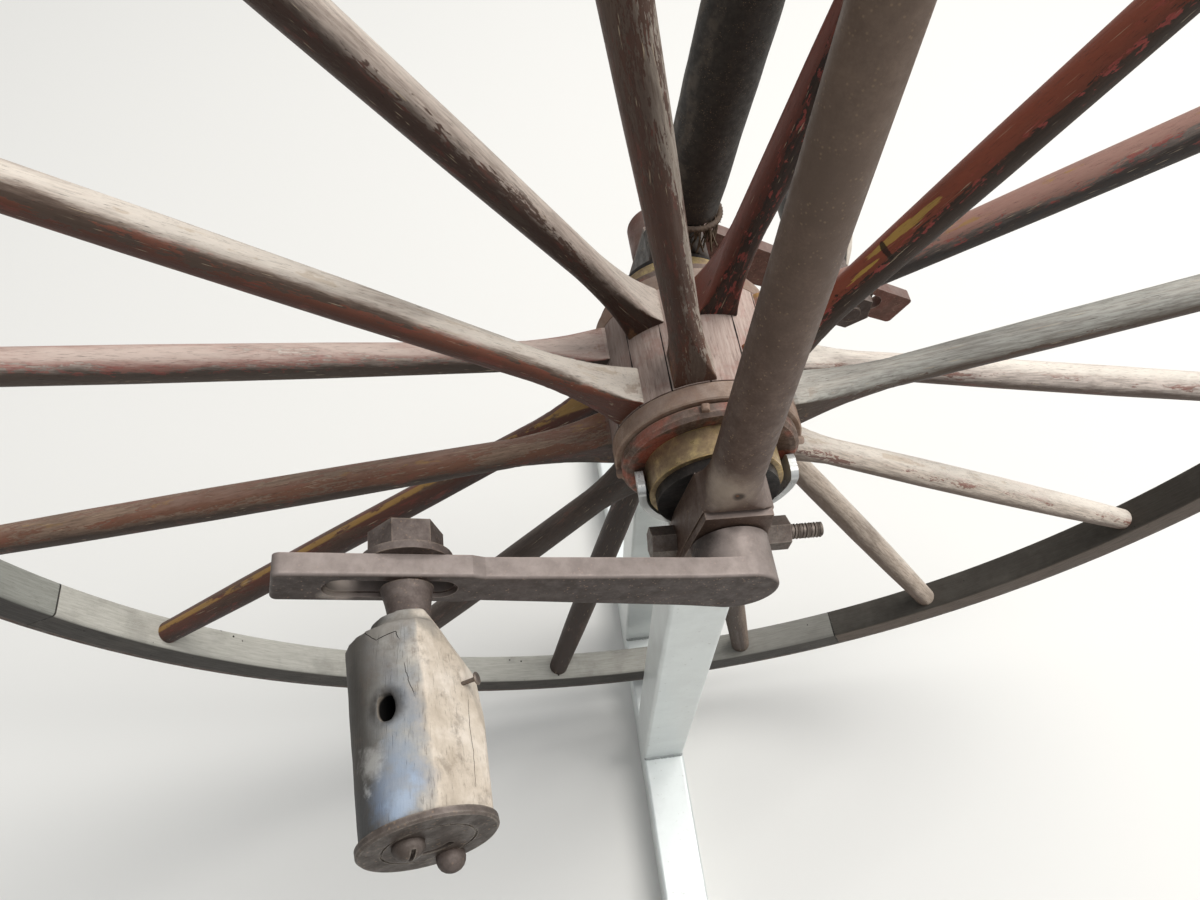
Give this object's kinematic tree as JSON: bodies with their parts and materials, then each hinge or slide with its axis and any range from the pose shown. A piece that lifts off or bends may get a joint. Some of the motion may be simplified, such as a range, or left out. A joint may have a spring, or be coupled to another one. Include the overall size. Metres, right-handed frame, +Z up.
{
  "type": "front wheel and fork of an early high-wheel bicycle",
  "caption": "Iron-tyred wooden spoked wheel with slotted cranks and barrel pedals, turning in a round-legged iron fork, held on a square-tube display stand.",
  "frame": {"origin": "on the steering line, at the seat where the steering stem leaves the fork crown; the wheel's centre is 44 mm in front of it and 558 mm below it", "axes": "-X to the front of the bicycle, +X to its rear wheel, -Y to the rider's left, +Z up; the axle runs along Y"},
  "size_m": [0.9798, 0.6, 1.2388],
  "materials": {
    "rim_wood": "worn bare wood, dark and dusty",
    "spoke_wood": "weathered wood with the last of a red-brown stain",
    "nave_wood": "pale dry end-worn wood with thin cracks",
    "tyre_iron": "worn iron with dull brown rust",
    "band_iron": "tan rusted iron",
    "ring_iron": "red-brown patina",
    "brass": "dull worn brass",
    "washer_iron": "greasy black iron",
    "pedal_wood": "grey-cream worn wood, polished by feet",
    "pedal_iron": "grey-brown iron",
    "bolt_iron": "rusty grey iron",
    "stand_metal": "pale zinc-plated steel",
    "forged_iron": "brown-purple iron patina, rubbed pale on edges"
  },
  "bodies": {
    "fork_and_stand": {"bearing_plate_left": "forged_iron", "bearing_plate_right": "forged_iron", "clamp_bolt_left": "bolt_iron", "clamp_bolt_right": "bolt_iron", "fork_crown": "forged_iron", "fork_leg_left": "forged_iron", "fork_leg_right": "forged_iron", "stand_cradle_left": "stand_metal", "stand_cradle_right": "stand_metal", "stand_crossbar": "stand_metal", "stand_upright_left": "stand_metal", "stand_upright_right": "stand_metal", "thrust_washer_left": "washer_iron", "thrust_washer_right": "washer_iron"},
    "wheel": {"axle": "forged_iron", "brass_collar_left": "brass", "brass_collar_right": "brass", "crank_left": "forged_iron", "crank_right": "forged_iron", "end_ring_left": "ring_iron", "end_ring_right": "ring_iron", "felloe_1": "rim_wood", "felloe_2": "rim_wood", "felloe_3": "rim_wood", "felloe_4": "rim_wood", "nave": "nave_wood", "nave_band_left": "band_iron", "nave_band_right": "band_iron", "pedal_pin_left": "forged_iron", "pedal_pin_right": "forged_iron", "pin_nut_left": "bolt_iron", "pin_nut_right": "bolt_iron", "spokes_far_row": "spoke_wood", "spokes_near_row": "spoke_wood", "tyre": "tyre_iron"},
    "pedal_left": {"pedal_barrel_left": "pedal_wood", "pedal_plate_left": "pedal_iron"},
    "pedal_right": {"pedal_barrel_right": "pedal_wood", "pedal_plate_right": "pedal_iron"}
  },
  "joints": [
    {"name": "wheel_spin", "type": "hinge", "parent": "fork_and_stand", "child": "wheel", "pos_m": [-0.04437, 0, -0.55824], "axis": [0, 1, 0], "continuous": true},
    {"name": "pedal_left_spin", "type": "hinge", "parent": "wheel", "child": "pedal_left", "pos_m": [-0.19574, -0.123, -0.50701], "axis": [0.0727, -0.9899, 0.1219], "continuous": true},
    {"name": "pedal_right_spin", "type": "hinge", "parent": "wheel", "child": "pedal_right", "pos_m": [0.08845, 0.123, -0.63006], "axis": [0, 1, 0], "continuous": true}
  ]
}
